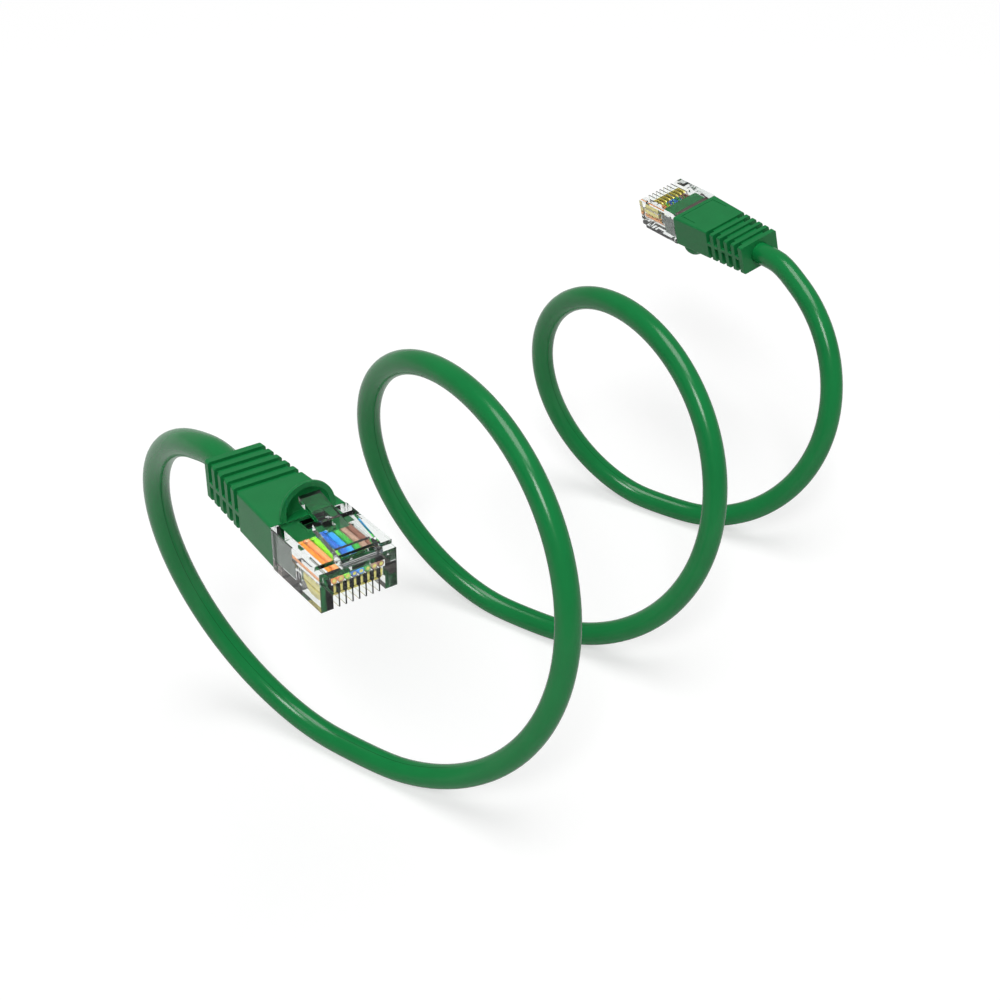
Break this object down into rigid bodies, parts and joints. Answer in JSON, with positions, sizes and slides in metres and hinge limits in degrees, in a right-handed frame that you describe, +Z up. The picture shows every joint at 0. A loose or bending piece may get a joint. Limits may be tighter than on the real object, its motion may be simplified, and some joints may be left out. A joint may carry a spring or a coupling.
{
  "type": "ethernet patch cable",
  "caption": "Green network patch cord standing as a narrowing spiral, with a clear modular plug, sprung latch tab and ribbed hooded boot on each end.",
  "frame": {"origin": "middle of the whole cable's box, on the surface that the three loop bottoms rest on", "axes": "+Z up; +X along the row of loops, from the wide loop with the near plug to the narrow loop with the far plug; the cord crosses the top of every loop towards +Y"},
  "size_m": [0.1659, 0.0775, 0.0901],
  "materials": {
    "jacket": "smooth green PVC jacket with a soft sheen",
    "boot": "moulded green PVC, satin",
    "inner_mould": "moulded green PVC seen through the clear housing",
    "clear_plug": "clear water-white polycarbonate, polished mould",
    "contact": "gold-plated phosphor bronze",
    "wire_1": "orange polyethylene wire insulation",
    "wire_2": "light orange polyethylene wire insulation",
    "wire_3": "lime polyethylene wire insulation",
    "wire_4": "blue polyethylene wire insulation",
    "wire_5": "sky blue polyethylene wire insulation",
    "wire_6": "green polyethylene wire insulation",
    "wire_7": "tan polyethylene wire insulation",
    "wire_8": "brown polyethylene wire insulation"
  },
  "bodies": {
    "cable": {"cable_jacket": "jacket", "wire_1": "wire_1", "wire_2": "wire_2", "wire_3": "wire_3", "wire_4": "wire_4", "wire_5": "wire_5", "wire_6": "wire_6", "wire_7": "wire_7", "wire_8": "wire_8", "near_plug_housing": "clear_plug", "near_boot": "boot", "near_inner_mould": "inner_mould", "far_plug_housing": "clear_plug", "far_boot": "boot", "far_inner_mould": "inner_mould", "near_contact_1": "contact", "near_contact_2": "contact", "near_contact_3": "contact", "near_contact_4": "contact", "near_contact_5": "contact", "near_contact_6": "contact", "near_contact_7": "contact", "near_contact_8": "contact", "far_contact_1": "contact", "far_contact_2": "contact", "far_contact_3": "contact", "far_contact_4": "contact", "far_contact_5": "contact", "far_contact_6": "contact", "far_contact_7": "contact", "far_contact_8": "contact"},
    "near_latch": {"near_latch": "clear_plug"},
    "far_latch": {"far_latch": "clear_plug"}
  },
  "joints": [
    {"name": "near_latch_hinge", "type": "hinge", "parent": "cable", "child": "near_latch", "pos_m": [-0.0762, -0.0311, 0.08728], "axis": [-0.9722, 0.2037, 0.1155], "range_deg": [0, 10], "stiffness_Nm_per_rad": 0.5},
    {"name": "far_latch_hinge", "type": "hinge", "parent": "cable", "child": "far_latch", "pos_m": [0.07733, 0.03308, 0.04422], "axis": [-0.9523, 0.2523, -0.1718], "range_deg": [0, 10], "stiffness_Nm_per_rad": 0.5}
  ]
}
